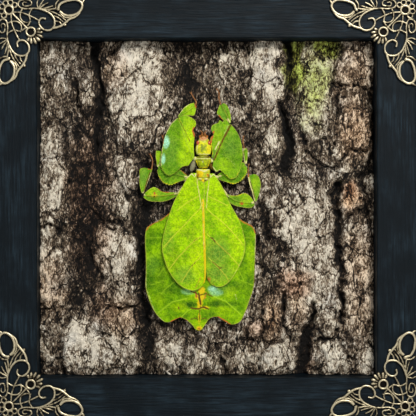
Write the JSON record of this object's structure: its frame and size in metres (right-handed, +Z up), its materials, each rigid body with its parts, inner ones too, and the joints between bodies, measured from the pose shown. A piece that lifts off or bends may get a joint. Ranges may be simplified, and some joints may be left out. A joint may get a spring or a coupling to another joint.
{
  "type": "framed leaf insect",
  "caption": "Leaf-shaped insect spread on a slab of bark in a square deep frame with cast filigree corners.",
  "frame": {"origin": "middle of the frame's underside, where it stands on a shelf; centre of the bounding box in X and Y", "axes": "+Z up towards the insect's head, +X to the viewer's right, -Y out of the display side, +Y into the wall"},
  "size_m": [0.21, 0.0386, 0.21],
  "materials": {
    "black_wood": "black paint worn over a fine grain",
    "aged_brass": "aged casting, pale on the ridges and dark in the recesses",
    "steel": "plain",
    "hardboard": "raw",
    "bark": "rough dry bark",
    "green_leaf": "dry cuticle, satin",
    "wing_green": "dry wing with raised veins, satin",
    "yellow_cuticle": "dry cuticle, satin",
    "red_eye": "glossy",
    "brown_cuticle": "dry cuticle, satin"
  },
  "bodies": {
    "root": {"frame_rail_top": "black_wood", "frame_rail_right": "black_wood", "frame_rail_bottom": "black_wood", "frame_rail_left": "black_wood", "back_board": "hardboard", "board_tab_1": "steel", "board_tab_2": "steel", "board_tab_3": "steel", "board_tab_4": "steel", "wall_hanger": "steel", "filigree_top_left": "aged_brass", "filigree_top_right": "aged_brass", "filigree_bottom_right": "aged_brass", "filigree_bottom_left": "aged_brass", "bark_slab": "bark", "prothorax": "yellow_cuticle", "mesothorax": "yellow_cuticle", "head": "yellow_cuticle", "eye_left": "red_eye", "eye_right": "red_eye", "antenna_left": "brown_cuticle", "antenna_right": "brown_cuticle", "abdomen": "green_leaf", "tegmen_right": "wing_green", "tegmen_left": "wing_green", "fore_left_femur": "green_leaf", "fore_left_tibia": "green_leaf", "fore_left_tarsus": "brown_cuticle", "fore_right_femur": "green_leaf", "fore_right_tibia": "green_leaf", "fore_right_tarsus": "brown_cuticle", "mid_left_femur": "green_leaf", "mid_left_tibia": "green_leaf", "mid_left_tarsus": "brown_cuticle", "mid_right_femur": "green_leaf", "mid_right_tibia": "green_leaf", "mid_right_tarsus": "brown_cuticle", "hind_left_femur": "green_leaf", "hind_left_tibia": "green_leaf", "hind_left_tarsus": "brown_cuticle", "hind_right_femur": "green_leaf", "hind_right_tibia": "green_leaf", "hind_right_tarsus": "brown_cuticle"}
  },
  "joints": []
}
